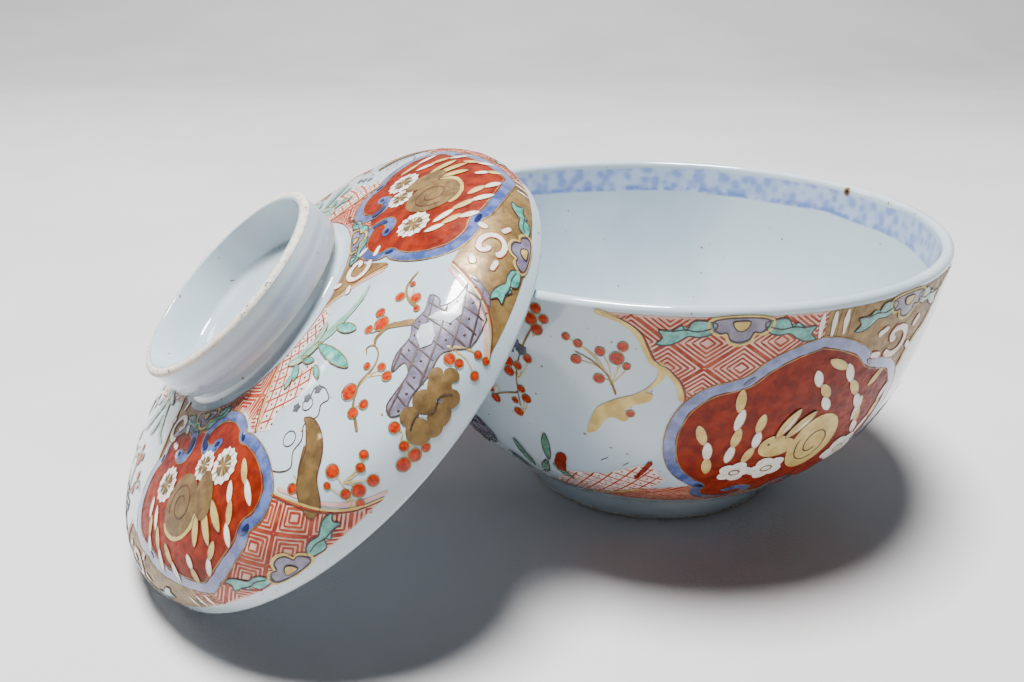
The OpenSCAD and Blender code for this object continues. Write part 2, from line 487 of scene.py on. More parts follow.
def scroll(art, phi, s, flip=1, turn=0.0, scale=1.0, coat=3):
    """A white C scroll with short bars at its ends, edged in red."""
    curl = [(flip * x, y) for x, y in arc_path(2.4, -150, 110, 0.9) + SCROLL_END]
    lines = [around(art, phi, s, smooth(curl), turn, scale)]
    for x, y, dx, dy in SCROLL_BARS:
        bar = [(flip * x, y), (flip * (x + dx), y + dy)]
        lines.append(smooth(around(art, phi, s, bar, turn, scale), per=5))
    for line in lines:
        stroke(art, "red_line", line, 1.3 * scale, coat)
        stroke(art, "white", line, 0.95 * scale, coat + 1)


def fret(art, outline, coat=1, period=9.4, gap=0.82, shift=0.0):
    """Nested diamonds in red line, over the whole region."""
    flat = Flat(art, outline)
    across, along = period, period * 0.78
    for i in range(int((flat.high[0] - flat.low[0]) / across) + 3):
        for j in range(int((flat.high[1] - flat.low[1]) / along * 2) + 3):
            cx = flat.low[0] + across * (i - 0.5 + 0.5 * (j % 2)) + shift
            cy = flat.low[1] + along / 2 * (j - 1)
            for ring in range(int(along / 2 / gap)):
                h = along / 2 - gap * ring - gap * 0.25
                w = h * across / along
                corners = [(cx - w, cy), (cx, cy + h), (cx + w, cy), (cx, cy - h), (cx - w, cy)]
                for run in clipped(corners, flat.ring, 0.6):
                    stroke(art, "red_line", flat.back(run), 0.38, coat)


def lattice(art, outline, angles=(52, 152), gap=1.95, width=0.34, coat=1, colour="red_line"):
    """Two sets of lines with a dot in each cell."""
    flat = Flat(art, outline)
    for angle in angles:
        for line in flat.lines(angle, gap):
            stroke(art, colour, line, width, coat)
    for phi, s in flat.crossings(*angles, gap):
        disc(art, "line", phi, s, oval(0.5, 0.44, 7), coat)


def spiral_body(art, phi, s, width, height, colour, coat=4):
    """The round gold body with its spiral line."""
    disc(art, colour, phi, s, oval(width, height, 28), coat)
    path = []
    for i in range(34):
        a = math.radians(200 - 16 * i)
        f = 0.36 - 0.0075 * i
        path.append((width * f * math.cos(a), height * f * math.sin(a)))
    stroke(art, "brown", around(art, phi, s, path), 0.26, coat + 2)


def blue_band(art, path, width, coat=2):
    """Underglaze blue band, open at the top, with a fine gold line on each side."""
    stroke(art, "blue", path, width, coat)
    k = art.pot.per_degree(20)
    for side, reach in ((1, width / 2 + 0.25), (-1, width / 2 + 0.1)):
        line = []
        for i in range(1, len(path) - 1):
            dx = (path[i + 1][0] - path[i - 1][0]) * k
            dy = path[i + 1][1] - path[i - 1][1]
            length = math.hypot(dx, dy)
            out = side * reach / length
            line.append((path[i][0] - dy * out / k, path[i][1] + dx * out))
        stroke(art, "gold", line, 0.24, coat + 1)


def cartouche(art, cloud, curl, notch, width, place):
    """A red cloud-shaped ground and the blue band round it. place: puts points on the pot."""
    fill(art, "red", place(mirrored(smooth(cloud, per=4) + notch)), 1)
    band = smooth(cloud + curl, per=5)
    blue_band(art, place([(-x, s) for x, s in band[::-1]] + band[1:]), width)


def grounds(art, phi, outlines, gold_side, **pattern):
    """The gold ground on one side of a cartouche at phi, and the pink ground with its fret on the other."""
    for outline in outlines:
        fill(art, "gold", densely(moved(outline, phi, flip=gold_side)), 0)
    for outline in outlines:
        pink = densely(moved(outline, phi, flip=-gold_side))
        fill(art, "pink", pink, 0)
        fret(art, pink, **pattern)


def bars(art, phi, offsets, levels, white_width, gold_width, gap):
    """White bars across the wall, each with a gold one beside it. levels: where each one starts and ends."""
    (white_top, gold_top), middle, (white_end, gold_end) = levels
    for x in offsets:
        white = [(phi + x, s) for s in (white_top, middle, white_end)]
        gold = [(phi + x + gap, s) for s in (gold_top, middle, gold_end)]
        stroke(art, "white", white, white_width, 3)
        stroke(art, "gold", gold, gold_width, 2)


# ---------------------------------------------------------------- the lid's painting

# Right half of the lid's cloud-shaped cartouche, from its point near the rim to the knob.
LID_CLOUD = [(0, 6.2), (5, 7.9), (10, 9.6), (14.6, 11.2), (17.4, 12.9), (21.5, 13.4), (26, 15.7),
             (28.3, 19.4), (28.5, 23.4), (26.8, 26.8), (24.3, 28.7), (25, 30.8), (22.6, 33.6), (18.2, 35.3),
             (13, 35.8), (8, 35.2)]
LID_CURL = [(4.9, 33.9), (4.2, 31.6), (6.6, 30), (10.2, 29.7), (13, 30.6)]
LID_NOTCH = [(3.6, 33.8), (0, 34.4)]
LID_RIM_S = 2.3         # mm from the lip to where the painting starts
LID_NECK_S = 38.6       # mm from the lip to the foot of the knob ring
LID_MIDDLE_S = 20
LID_POINT_AT = -18      # degrees, the middle between a gold and a pink ground


# Chains of leaves on the red: start, end, number of leaves, and whether a white one comes first (0) or not.
LID_CHAINS = (
    ((-20.5, 21.8), (-15.8, 12.8), 3, 1),
    ((-16.5, 20.6), (-9.4, 10.4), 3, 1),
    ((-8.2, 14.6), (-4.2, 8.6), 2, 0),
    ((0.5, 12.6), (1.2, 7.9), 2, 1),
    ((9.0, 13.2), (5.2, 8.6), 2, 0),
    ((17.0, 21.4), (13.4, 11.6), 3, 1),
    ((21.0, 23.8), (21.4, 15.8), 2, 0),
)


def tilted(points, phi, tilt, flip=1):
    """Points round phi, leaning by tilt degrees for each mm above the middle of the wall."""
    return [(phi + flip * x + tilt * (s - LID_MIDDLE_S), s) for x, s in points]


def lid_cloud(art, phi, tilt):
    def place(points, flip=1):
        return tilted(points, phi, tilt, flip)

    cartouche(art, LID_CLOUD, LID_CURL, LID_NOTCH, 1.9, place)
    for flip in (1, -1):
        knot, bend, shoulder = place([(12.2, 30.4), (17.2, 12.6), (24.4, 28.6)], flip)
        disc(art, "blue", *knot, oval(2.9, 2), 4)
        stroke(art, "navy", place(smooth([(5.2, 33.6), (4.6, 31.9), (6.4, 30.6)]), flip), 1.3, 6)
        disc(art, "navy", *knot, oval(1.5, 1), 6)
        disc(art, "navy", *bend, oval(2.4, 1), 5, turn=flip * 20)
        disc(art, "navy", *shoulder, oval(0.9, 1.8), 5)
    for x, s, size in ((-14.5, 24.8, 3.4), (4.9, 27.2, 2.8), (14.4, 25.2, 3.4)):
        blossom(art, phi + x, s, size)
    spiral_body(art, phi - 3, 21.2, 10.2, 10.8, "gold_dark")
    stroke(art, "gold_light", moved(arc_points(-3, 21.2, 8.0, 5.4, 215, 335), phi), 1.3, 3)
    disc(art, "gold_dark", phi + 7, 21.6, oval(5, 8.6, 20), 5)
    for x, s, turn, length in ((4.4, 16.2, 82, 5.6), (8.0, 16.4, 96, 7.2), (11.4, 17.2, 104, 6.2)):
        outlined(art, "gold_light", phi + x, s, lens(length, 1.9), 4, turn, line="brown", width=0.18)
    for leaves in LID_CHAINS:
        chain(art, phi, *leaves)


# The white panel's edges at the rim, in degrees from the middle of the panel.
PANEL_SIDE = [(15, 2.6), (19.5, 4.6), (23.6, 7.6), (27, 11.2), (30.6, 15)]
PANEL_TOP = [(31.8, 27.6), (28.6, 31.6), (24.6, 34.6), (20.4, 37), (15.5, 38.6)]


def lid_grounds(art, phi):
    """The gold ground left of a cartouche's point at phi and the pink ground right of it."""
    low = [(PANEL_APART - x, s) for x, s in smooth(PANEL_SIDE)]
    low += [(22, 14), (12, 10.5), (0, 6.6), (0, LID_RIM_S)]
    high = [(PANEL_APART - x, s) for x, s in smooth(PANEL_TOP)[::-1]]
    high += [(27, 28.2), (24, 34), (12, 35.5), (0, 33.4), (0, LID_NECK_S)]
    grounds(art, phi, (low, high), -1)
    scroll(art, phi - 23.5, 9.4, 1)
    scroll(art, phi - 26.5, 34.6, -1, turn=-25)
    edge_spray(art, phi - 22, 3.4, 1, scale=1.1)
    edge_spray(art, phi + 24, 3.2, 1, scale=1.1)
    edge_spray(art, phi - 4, 37.8, -1, spread=11, scale=0.9)
    for x in (-24, -17, 10, 18):
        vine = [(phi + x, 36.6), (phi + x + 3, 37.8), (phi + x + 6, 36.8), (phi + x + 8, 37.9)]
        stroke(art, "line", smooth(vine), 0.26, 4)
    bars(art, phi, (-2.6, 0, 2.6), ((2.7, 2.6), 4, (5.4, 5.6)), 0.9, 0.5, 1.3)


def panel_edge(art, phi, points, flip, gold_width=0.35, pink=True):
    """The edge of a white panel: a gold line between a red one and, on the lid, a pink one."""
    path = moved(smooth(points), phi, flip=flip)
    stroke(art, "red_line", path, 0.45, 2)
    stroke(art, "gold_light", moved(path, -0.5 * flip), gold_width, 3)
    stroke(art, "brown", moved(path, 0.35 * flip), 0.18, 3)
    if pink:
        inner = moved(smooth([(x - 1.6, s + 0.3) for x, s in points]), phi, flip=flip)
        stroke(art, "pale_pink", inner, 0.6, 1)


# All in degrees from the middle of the panel, and mm from the rim.
ROCK = [(-3.6, 10.2), (-2.4, 11.8), (1.6, 12), (4.6, 12.2), (6, 13.8), (3, 14.6), (6.6, 15.8), (11, 15.4),
        (14, 16.4), (17.6, 15.6), (21.4, 16.2), (21, 14.2), (19.4, 13.6), (21.2, 12), (24.4, 11.2),
        (28, 10.6), (26.4, 8.6), (24.6, 6.8), (20, 5.9), (14.6, 6.1), (12.4, 8.2), (10.4, 9.6), (6, 9.3),
        (1.6, 9.6), (-1.4, 9)]
# Painted highlights on the rock: glossy bluish white patches that stand for light glinting off it.
ROCK_HIGHLIGHTS = ([(9.8, 12.8), (11.6, 14.6), (14.2, 14.8), (15.6, 13.4), (13.2, 11.8), (11.4, 11.6)],
             [(16.2, 14.4), (18.2, 13.4), (18.6, 11.8), (22.2, 10.8), (19.2, 9.8), (16.6, 10.8)])
# Lumps of the gold rock: place, width and height.
LUMPS = [(-2.6, 5.4, 4.2, 4.2), (-1.6, 8, 3.2, 2.8), (2, 7.6, 3.8, 3.6), (1.6, 4.4, 4.4, 3.6),
         (5.6, 7, 4, 3.8), (6.8, 8.4, 2.8, 2.2), (5, 4.4, 3.2, 2.8), (-0.6, 3.6, 2.8, 2.2),
         (8.4, 6.4, 2.2, 2.6)]
TRUNK = [(-26.4, 8.2), (-25.6, 12.4), (-22.2, 15.8), (-19.6, 17.2), (-17, 20.6), (-16.4, 22.2),
         (-14.6, 20.6), (-14.8, 17.4), (-17, 14.6), (-20.6, 12.2), (-22.6, 9.2), (-24.2, 8)]
TRUNK_SIDE = [(-23.8, 14.6), (-21.6, 16.6), (-19.4, 18), (-20.2, 16.2), (-22, 14.4)]
BRANCHES = (
    # path, width
    ([(-9.5, 12.8), (-8, 14.6), (-6.2, 16.6), (-2.5, 18.2), (2.2, 18.0), (5.2, 18.9), (6.4, 20.6),
      (5.2, 21.6), (3.8, 20.8)], 0.45),
    ([(14.6, 16.2), (13.2, 18.4), (11.6, 20.4), (8.4, 21.2), (6.6, 20.6)], 1.1),
    ([(17.6, 16.6), (19.6, 19.6), (23.2, 21.2), (27.8, 20.4)], 0.6),
    ([(10.6, 21.4), (9.0, 22.8), (9.6, 23.6)], 0.3),
)
# Sprigs: the root of the stems, then berries by place and size.
SPRIGS = (
    ((11.6, 20.4), ((12.0, 22.0, 2.5), (9.6, 23.8, 1.4), (14.8, 23.6, 1.6))),
    ((19.4, 19.6), ((20.0, 21.5, 1.6), (20.2, 18.4, 1.7), (17.6, 17.2, 1.0), (23.9, 20.3, 0.9))),
    ((-0.4, 18.0), ((2.0, 14.9, 1.5), (1.6, 19.2, 1.1), (3.0, 16.7, 1.3), (-5.0, 18.7, 2.6))),
    ((-7.4, 16.6), ((-7.6, 15.5, 1.6), (-5.0, 15.0, 1.4))),
    ((-19.8, 4.6), ((-17.6, 11.2, 2.0), (-20.0, 10.1, 1.0), (-18.5, 7.3, 1.4), (-18.0, 4.7, 1.2))),
    ((-17.4, 8.8), ((-13.5, 8.5, 1.3), (-11.5, 9.5, 1.3), (-16.5, 6.3, 2.0), (-13.6, 5.8, 1.7))),
    ((-5.6, 6.8), ((-8.4, 4.0, 2.1), (-6.0, 3.6, 1.9), (-3.9, 3.0, 1.3), (-6.0, 5.8, 1.4), (-4.6, 8.7, 1.6))),
    ((12.4, 9.4), ((10.6, 8.0, 1.7), (10.8, 6.4, 1.3), (14.0, 4.5, 1.2), (10.6, 3.2, 1.4), (14.0, 2.8, 1.2))),
    ((-24.4, 15.2), ((-26.0, 13.5, 1.5),)),
)
# Leaves: place, turn, length and width.
LONG_LEAVES = (
    (-0.6, 27.6, 88, 10.4, 2.3), (8.2, 29.0, 96, 5.0, 2.0), (-12.2, 32.6, 60, 3.6, 1.6),
    (-6.4, 32.0, 112, 3.2, 1.3), (-7.0, 28.0, 70, 3.4, 1.2), (-16.0, 32.0, 35, 2.6, 1.2),
)
FENCE = [(-32.4, 31.4), (-30.6, 27.4), (-26.6, 25.8), (-22.4, 28.2), (-17.6, 27.2), (-12, 27.4),
         (-8.4, 28.4), (-4, 29.9), (-8.4, 31.5), (-12.6, 31.6), (-15.6, 33.2), (-12.4, 35.2), (-3, 35.6),
         (3.6, 34.6), (9.4, 35.6), (14.6, 37.2), (15.2, 38.4), (-4, 38.8), (-15.4, 38.8), (-21.4, 37.2),
         (-25.6, 34.6), (-29.4, 32.6)]
CLOUD_LINE = [(-31.2, 24.8), (-30.4, 20.4), (-27.6, 17.6), (-24.4, 16.6), (-22.4, 18.6), (-19.4, 19.2),
              (-17.2, 21.2), (-13.6, 20.4), (-11.4, 21.6), (-9.2, 21.2), (-8.2, 23.6), (-9.8, 25.4),
              (-12.4, 24.8)]


def lid_panel(art, phi):
    """Rock, berries, leaves and brocade on the white panel in the middle of two cartouches."""
    for flip in (1, -1):
        panel_edge(art, phi, PANEL_SIDE, flip)
        panel_edge(art, phi, PANEL_TOP, flip)
    fence = densely(moved(FENCE, phi), 1.0)
    fill(art, "fence_wash", fence, 0)
    lattice(art, fence)
    stroke(art, "line", moved(smooth(CLOUD_LINE), phi), 0.2, 1)
    for x, s, size in ((-22, 21.2, 2.6), (-14, 24.0, 2.2)):
        rim(art, "line", phi + x, s, oval(size, size), 0.16, 1)
    for x, s in ((-9.6, 24.6), (-13.2, 25.1), (-17.0, 25.4)):
        disc(art, "smoke", phi + x, s, scalloped(0.9, 5, 0.3, 4), 1)
    rock = patch(art, "lavender", phi, ROCK, 1, "line")
    lattice(art, rock, angles=(12, 76), gap=2.5, width=0.3, coat=3, colour="line")
    # painted highlight: glossy bluish white patches laid over the rock
    for gap in ROCK_HIGHLIGHTS:
        fill(art, "painted_highlight", moved(gap, phi), 5)
    for x, s, width, height in LUMPS:
        disc(art, "gold_dark", phi + x, s, oval(width, height), 3)
    crack = [(-3.4, 6.6), (-0.6, 7.2), (1.2, 5.6), (4.2, 6.0), (5.8, 4.6)]
    stroke(art, "line", moved(smooth(crack), phi), 0.24, 6)
    patch(art, "gold_dark", phi, TRUNK, 2, "brown", 0.18)
    patch(art, "gold_dark", phi, TRUNK_SIDE, 2)
    for path, width in BRANCHES:
        stroke(art, "gold", moved(smooth(path), phi), width, 2, taper=lambda t: 1.15 - 0.7 * t)
    for root, places in SPRIGS:
        sprig(art, phi, root, places)
    blade = [(-13.0, 36.4), (-6, 34.6), (2, 33.0), (10, 31.4), (18, 30.0), (24.6, 29.8)]
    stroke(art, "pale_green", moved(smooth(blade), phi), 1.5, 3,
           taper=lambda t: 0.35 + 0.9 * math.sin(math.pi * t ** 0.7))
    for x, s, turn, length, width in LONG_LEAVES:
        outlined(art, "turquoise", phi + x, s, lens(length, width), 4, turn, line="gold", width=0.18)
    for x, s, turn in ((-3.5, 33.4, 160), (3.5, 34.2, 12), (-9.5, 34.6, 140)):
        outlined(art, "pale_green", phi + x, s, lens(4.6, 1.5), 4, turn, line="gold", width=0.16)


# Where each cartouche stands on the lid and how far it leans: no two are alike.
CLOUD_PLACES = {0: (-16.5, 0.05), 120: (103, -0.1), 240: (223.5, -0.28)}


def paint_lid():
    art = Painting(lid_pot, 7)
    for turn in THIRDS:
        lid_grounds(art, turn + LID_POINT_AT)
        lid_cloud(art, *CLOUD_PLACES[turn])
        lid_panel(art, turn + LID_POINT_AT - PANEL_APART)
    stroke(art, "red_line", [(x, LID_NECK_S + 0.2) for x in range(0, 360, 2)], 0.2, 2, closed=True)
    return art


# ---------------------------------------------------------------- the bowl's painting

# Right half of the bowl's cartouche, from its point near the lip down to the foot.
BOWL_CLOUD = [(0, 6.4), (4.5, 7.6), (9.2, 9.9), (12.2, 12.6), (14.8, 13.6), (19.4, 15.2), (23, 19),
              (24.8, 24.4), (24.6, 30.4), (22.6, 35.4), (19, 39.2), (16.8, 41.2), (17.2, 43.6),
              (15.6, 46.8), (11.6, 49.2), (7.2, 49.4)]
BOWL_CURL = [(4.2, 48.2), (3.2, 45.8), (4.6, 43.8), (7, 43.2), (9.2, 44.2)]
BOWL_NOTCH = [(2.6, 47.4), (0, 48.2)]
BOWL_LIP_S = 0.5        # mm from the lip to where the painting starts
BOWL_END_S = 54.0       # mm from the lip to the line above the foot
BOWL_CLOUD_AT = -92.5   # degrees
RABBIT_HEAD = [(-3.4, 0.4), (-3.1, -1.4), (-1.6, -2.7), (0.6, -2.6), (2.4, -1.6), (3.6, -0.6), (3.8, 1.4),
               (2.2, 2.7), (-0.4, 3), (-2.4, 2.2)]
# Chains of leaves on the red, as on the lid.
BOWL_CHAINS = (
    ((-13.8, 14.8), (-13.4, 32.2), 4, 0),
    ((-20.6, 22.6), (-17.0, 35.4), 3, 0),
    ((-8.8, 20.6), (-10.0, 32.6), 3, 0),
    ((1.4, 10.6), (5.6, 12.6), 1, 0),
    ((-0.6, 12.4), (4.8, 21.6), 3, 1),
    ((6.4, 12.2), (17.6, 31.2), 5, 1),
    ((13.2, 21.0), (13.6, 26.6), 1, 1),
    ((21.4, 20.2), (19.6, 32.0), 3, 1),
)


def rabbit_head(art, phi):
    """Head, two long ears that lean back, and a dark eye."""
    disc(art, "gold_light", phi - 3.6, 28.8, smooth(RABBIT_HEAD, True, 3), 6)
    for x, s, turn, size in ((-2.6, 23.4, -64, 7.4), (0.4, 24.2, -50, 7.6)):
        disc(art, "gold_light", phi + x, s, lens(size, 2.4), 6, turn)
        disc(art, "white", phi + x + 0.4, s, lens(size * 0.6, 0.6), 8, turn)
        rim(art, "brown", phi + x, s, lens(size, 2.4), 0.16, 7, turn)
    disc(art, "line", phi - 5.4, 28.1, oval(0.7, 0.6, 8), 8)


def bowl_cloud(art, phi):
    cartouche(art, BOWL_CLOUD, BOWL_CURL, BOWL_NOTCH, 2, lambda points: moved(points, phi))
    for flip in (1, -1):
        disc(art, "blue", phi + flip * 8.6, 44.2, oval(3.0, 2.2), 4)
        disc(art, "navy", phi + flip * 8.4, 44.2, oval(1.8, 1.2), 6)
        disc(art, "navy", phi + flip * 16.6, 41.0, oval(2.6, 1.1), 5, turn=-flip * 35)
        disc(art, "navy", phi + flip * 12.4, 12.9, oval(2.6, 0.9), 5, turn=flip * 40)
    spiral_body(art, phi + 5.6, 30.2, 10.4, 15.0, "gold_light")
    rabbit_head(art, phi)
    for x, s, size in ((-10.4, 35.8, 3.3), (-3.2, 35.6, 3.7), (16.8, 35.4, 4.2)):
        plum(art, phi + x, s, size, 6, turn=14 * x)
    for leaves in BOWL_CHAINS:
        chain(art, phi, *leaves, size=1.3)
    disc(art, "gold_light", phi + 16, 17, lens(4.4, 1.7), 4, -50)


BOWL_SIDE = [(21.6, 0.3), (25.4, 1.5), (28.6, 3.8), (30.4, 7.4), (31.4, 9.2), (33.6, 10.6), (36, 13.6),
             (36.8, 17)]
BOWL_LOW = [(30.6, 43.6), (26, 47), (21, 50.6), (16, 53.6)]
BOWL_SPRIGS = (
    ((10.0, 7.4), ((11.0, 1.6, 1.8), (9.9, 3.8, 2.2), (12.4, 3.4, 1.6), (11.0, 5.7, 2.0))),
    ((23.4, 12.4), ((16.3, 6.0, 1.3), (18.4, 7.0, 1.4), (18.0, 10.2, 1.7))),
    ((24.0, 14.6), ((22.2, 8.0, 1.6), (26.0, 6.6, 1.7), (25.0, 9.0, 2.3), (26.7, 10.4, 1.2),
                    (22.0, 13.5, 1.8))),
    ((6.2, 17.0), ((4.3, 13.7, 2.1), (6.4, 14.2, 1.5), (8.7, 12.1, 1.6), (4.3, 15.9, 1.9))),
    ((5.4, 26.0), ((6.4, 19.3, 1.5), (7.3, 21.3, 1.8), (4.5, 22.5, 1.3), (4.8, 25.2, 1.8))),
    ((0.6, 20.0), ((-1.3, 21.6, 1.4), (-0.5, 23.6, 1.9))),
    ((26.4, 18.6), ((27.6, 20.4, 1.4),)),
)
BOUGH = [(32, 9), (31.8, 12.4), (29, 15.6), (25, 17.4), (21.6, 19.8), (20.2, 23), (19.4, 26.2),
         (21.4, 25.4), (22.8, 22.8), (24.4, 21.6), (26.4, 22.4), (27.6, 21), (26.6, 19.6), (28.6, 18.2),
         (30.8, 17.4), (31.4, 15.8), (30.2, 15.2), (32.4, 13.2), (33.6, 10.6)]
TWIGS = (
    [(25, 16.6), (23.6, 12.8), (21.0, 10.2), (17.8, 8.6)],
    [(10, 5.6), (7.6, 10.4), (5.8, 16.4), (5.6, 23.6)],
    [(5.6, 20.4), (1.8, 21.6), (-1.0, 23.2)],
)
BOWL_FENCE = [(10.4, 44), (12.4, 40.6), (17.6, 39.4), (22.4, 38.4), (25.4, 36.2), (28.4, 34.6),
              (31.4, 33.2), (35.4, 38.8), (33.4, 41.6), (30, 45.4), (26, 48.6), (21, 51.6), (15, 53.6),
              (4, 53.8), (6.4, 48.6)]
BOWL_ROCK = [(-30, 34), (-27, 30.4), (-23, 30.8), (-20, 27.4), (-15.6, 28.4), (-13.4, 32), (-9.4, 32.6),
             (-6.4, 36.4), (-8.4, 40), (-13, 41.2), (-16, 44.6), (-22, 44.2), (-26.6, 40.8), (-31, 38.6)]


def bowl_grounds(art, phi):
    """The pink ground left of a cartouche at phi and the gold ground right of it."""
    high = [(PANEL_APART - x, s) for x, s in smooth(BOWL_SIDE)]
    high += [(16, 14.4), (9, 10), (0, 6.8), (0, BOWL_LIP_S)]
    low = [(PANEL_APART - x, s) for x, s in smooth(BOWL_LOW)]
    low += [(0, BOWL_END_S), (0, 47), (10, 49), (17, 45), (18, 41)]
    grounds(art, phi, (high, low), 1, period=12.5, gap=0.9, shift=-0.6)
    edge_spray(art, phi - 15.4, 1.6, 1, spread=8.0, scale=1.32)
    edge_spray(art, phi + 18.6, 1.6, 1, spread=7.4, scale=1.3)
    scroll(art, phi + 18.4, 10.0, -1, turn=180, scale=1.25)
    scroll(art, phi + 20.6, 49.0, 1, turn=20)
    bars(art, phi, (-1.4, 1.0, 3.4), ((0.7, 0.6), 2.6, (5.4, 5.8)), 1.1, 0.6, 1.2)


def bowl_panel(art, phi):
    """Blossom on a gold bough over brocade, on the white panel."""
    for flip in (1, -1):
        panel_edge(art, phi, BOWL_SIDE, flip, 0.9, pink=False)
        panel_edge(art, phi, BOWL_LOW, flip, 0.9, pink=False)
    fence = densely(moved(BOWL_FENCE, phi), 1.0)
    fill(art, "fence_wash", fence, 0)
    lattice(art, fence, angles=(24, 118), gap=2.3)
    rock = patch(art, "lavender", phi, BOWL_ROCK, 1, "line")
    lattice(art, rock, angles=(-12, 62), gap=2.7, width=0.3, coat=3, colour="line")
    patch(art, "gold_light", phi, BOUGH, 2)
    for twig in TWIGS:
        stroke(art, "gold", moved(smooth(twig), phi), 0.4, 2, taper=lambda t: 1.1 - 0.6 * t)
    for root, places in BOWL_SPRIGS:
        sprig(art, phi, root, places)
    for x, s in ((6.2, 9.4), (5.0, 10.6), (7.6, 10.6)):
        disc(art, "smoke", phi + x, s, scalloped(1.3, 5, 0.3, 4), 3)
    for x, s, turn, length in ((9.4, 33.4, 96, 8.8), (1.8, 38.6, 80, 9.6), (6.4, 41.8, 112, 8.0),
                               (11.4, 41.6, 62, 6.4), (-2.4, 43.6, 70, 7.2)):
        outlined(art, "leaf_green", phi + x, s, lens(length, 1.7), 4, turn, line="line", width=0.16)
    stroke(art, "red", moved(smooth([(13.2, 34.0), (11.8, 37.4), (11.2, 41.0)]), phi), 2.2, 5)
    stroke(art, "red", moved(smooth([(32.0, 32.4), (30.6, 35.2), (28.8, 38.6)]), phi), 0.9, 5)
    for a, b in (((21.6, 33.8), (23.2, 32.6)), ((26.2, 34.6), (27.4, 33.4))):
        stroke(art, "line", [(phi + a[0], a[1]), (phi + b[0], b[1])], 0.4, 1)


def paint_bowl():
    art = Painting(bowl_pot, 11)
    for turn in THIRDS:
        bowl_grounds(art, turn + BOWL_CLOUD_AT)
        bowl_cloud(art, turn + BOWL_CLOUD_AT)
        bowl_panel(art, turn + BOWL_CLOUD_AT - PANEL_APART)
    stroke(art, "red_line", [(x, BOWL_END_S) for x in range(0, 360, 2)], 0.35, 2, closed=True)
    return art

# ---------------------------------------------------------------- finishes


def linear(r, g, b):
    """A colour as seen, 0 to 255, as the shader wants it."""
    seen = [v / 255 for v in (r, g, b)]
    return tuple(v / 12.92 if v <= 0.04045 else ((v + 0.055) / 1.055) ** 2.4 for v in seen) + (1.0,)


class Finish:
    """A node material that starts from the piece's own coordinates."""

    def __init__(self, name):
        self.material = bpy.data.materials.new(name)
        self.material.use_nodes = True
        self.tree = self.material.node_tree
        self.shader = next(n for n in self.tree.nodes if n.type == "BSDF_PRINCIPLED")
        self.place = self.add("ShaderNodeTexCoord").outputs["Object"]

    def add(self, kind, **settings):
        node = self.tree.nodes.new(kind)
        for key, value in settings.items():
            setattr(node, key, value)
        return node

    def link(self, source, target):
        self.tree.links.new(source, target)

    def set(self, **values):
        """Uniform values on the shader, such as Coat_Weight=1."""
        for key, value in values.items():
            self.shader.inputs[key.replace("_", " ")].default_value = value

    def noise(self, scale, detail=3.0, rough=0.55):
        node = self.add("ShaderNodeTexNoise")
        node.inputs["Scale"].default_value = scale
        node.inputs["Detail"].default_value = detail
        node.inputs["Roughness"].default_value = rough
        self.link(self.place, node.inputs["Vector"])
        return node.outputs["Fac"]

    def math(self, operation, a, b=None, c=None):
        node = self.add("ShaderNodeMath", operation=operation)
        for i, value in enumerate(v for v in (a, b, c) if v is not None):
            if isinstance(value, (int, float)):
                node.inputs[i].default_value = value
            else:
                self.link(value, node.inputs[i])
        return node.outputs[0]

    def spread(self, value, low, high, to_low=0.0, to_high=1.0):
        """Maps value from low..high to to_low..to_high, held at the ends."""
        node = self.add("ShaderNodeMapRange", interpolation_type="SMOOTHSTEP")
        self.link(value, node.inputs["Value"])
        for key, v in (("From Min", low), ("From Max", high), ("To Min", to_low), ("To Max", to_high)):
            node.inputs[key].default_value = v
        return node.outputs["Result"]

    def mix(self, factor, a, b):
        node = self.add("ShaderNodeMix", data_type="RGBA")
        self.link(factor, node.inputs["Factor"])
        for key, value in ((6, a), (7, b)):
            if isinstance(value, tuple):
                node.inputs[key].default_value = value
            else:
                self.link(value, node.inputs[key])
        return node.outputs[2]

    def two_tones(self, a, b, scale, detail, low, high, rough=0.55):
        """Two colours that drift into each other."""
        return self.mix(self.spread(self.noise(scale, detail, rough), low, high), linear(*a), linear(*b))

    def vector(self, operation, a, b, output="Vector"):
        node = self.add("ShaderNodeVectorMath", operation=operation)
        for i, value in enumerate((a, b)):
            if isinstance(value, bpy.types.NodeSocket):
                self.link(value, node.inputs[i])
            else:
                node.inputs[i].default_value = value
        return node.outputs[output]

    def colour(self, value):
        self.link(value, self.shader.inputs["Base Color"])

    def roughness(self, scale, low, high):
        self.link(self.spread(self.noise(scale), 0.3, 0.7, low, high), self.shader.inputs["Roughness"])

    def relief(self, height, strength, distance):
        """distance is how high the bumps stand, in mm."""
        node = self.add("ShaderNodeBump")
        node.inputs["Strength"].default_value = strength
        node.inputs["Distance"].default_value = distance * MM
        self.link(height, node.inputs["Height"])
        self.link(node.outputs["Normal"], self.shader.inputs["Normal"])


def enamel(name, base, deep, rough, mottle=420, metallic=0.0, coat=0.0, grain=0.02, shine=0.5):
    """Fired paint: two tones that drift into each other, and a slightly uneven surface."""
    finish = Finish(name)
    finish.colour(finish.two_tones(base, deep, mottle, 5, 0.34, 0.66))
    finish.roughness(900, rough * 0.75, rough * 1.3)
    finish.relief(finish.noise(1500, 4), 0.7, grain)
    finish.set(Metallic=metallic, Coat_Weight=coat, Coat_Roughness=0.08, IOR=1.5, Specular_IOR_Level=shine)
    return finish.material


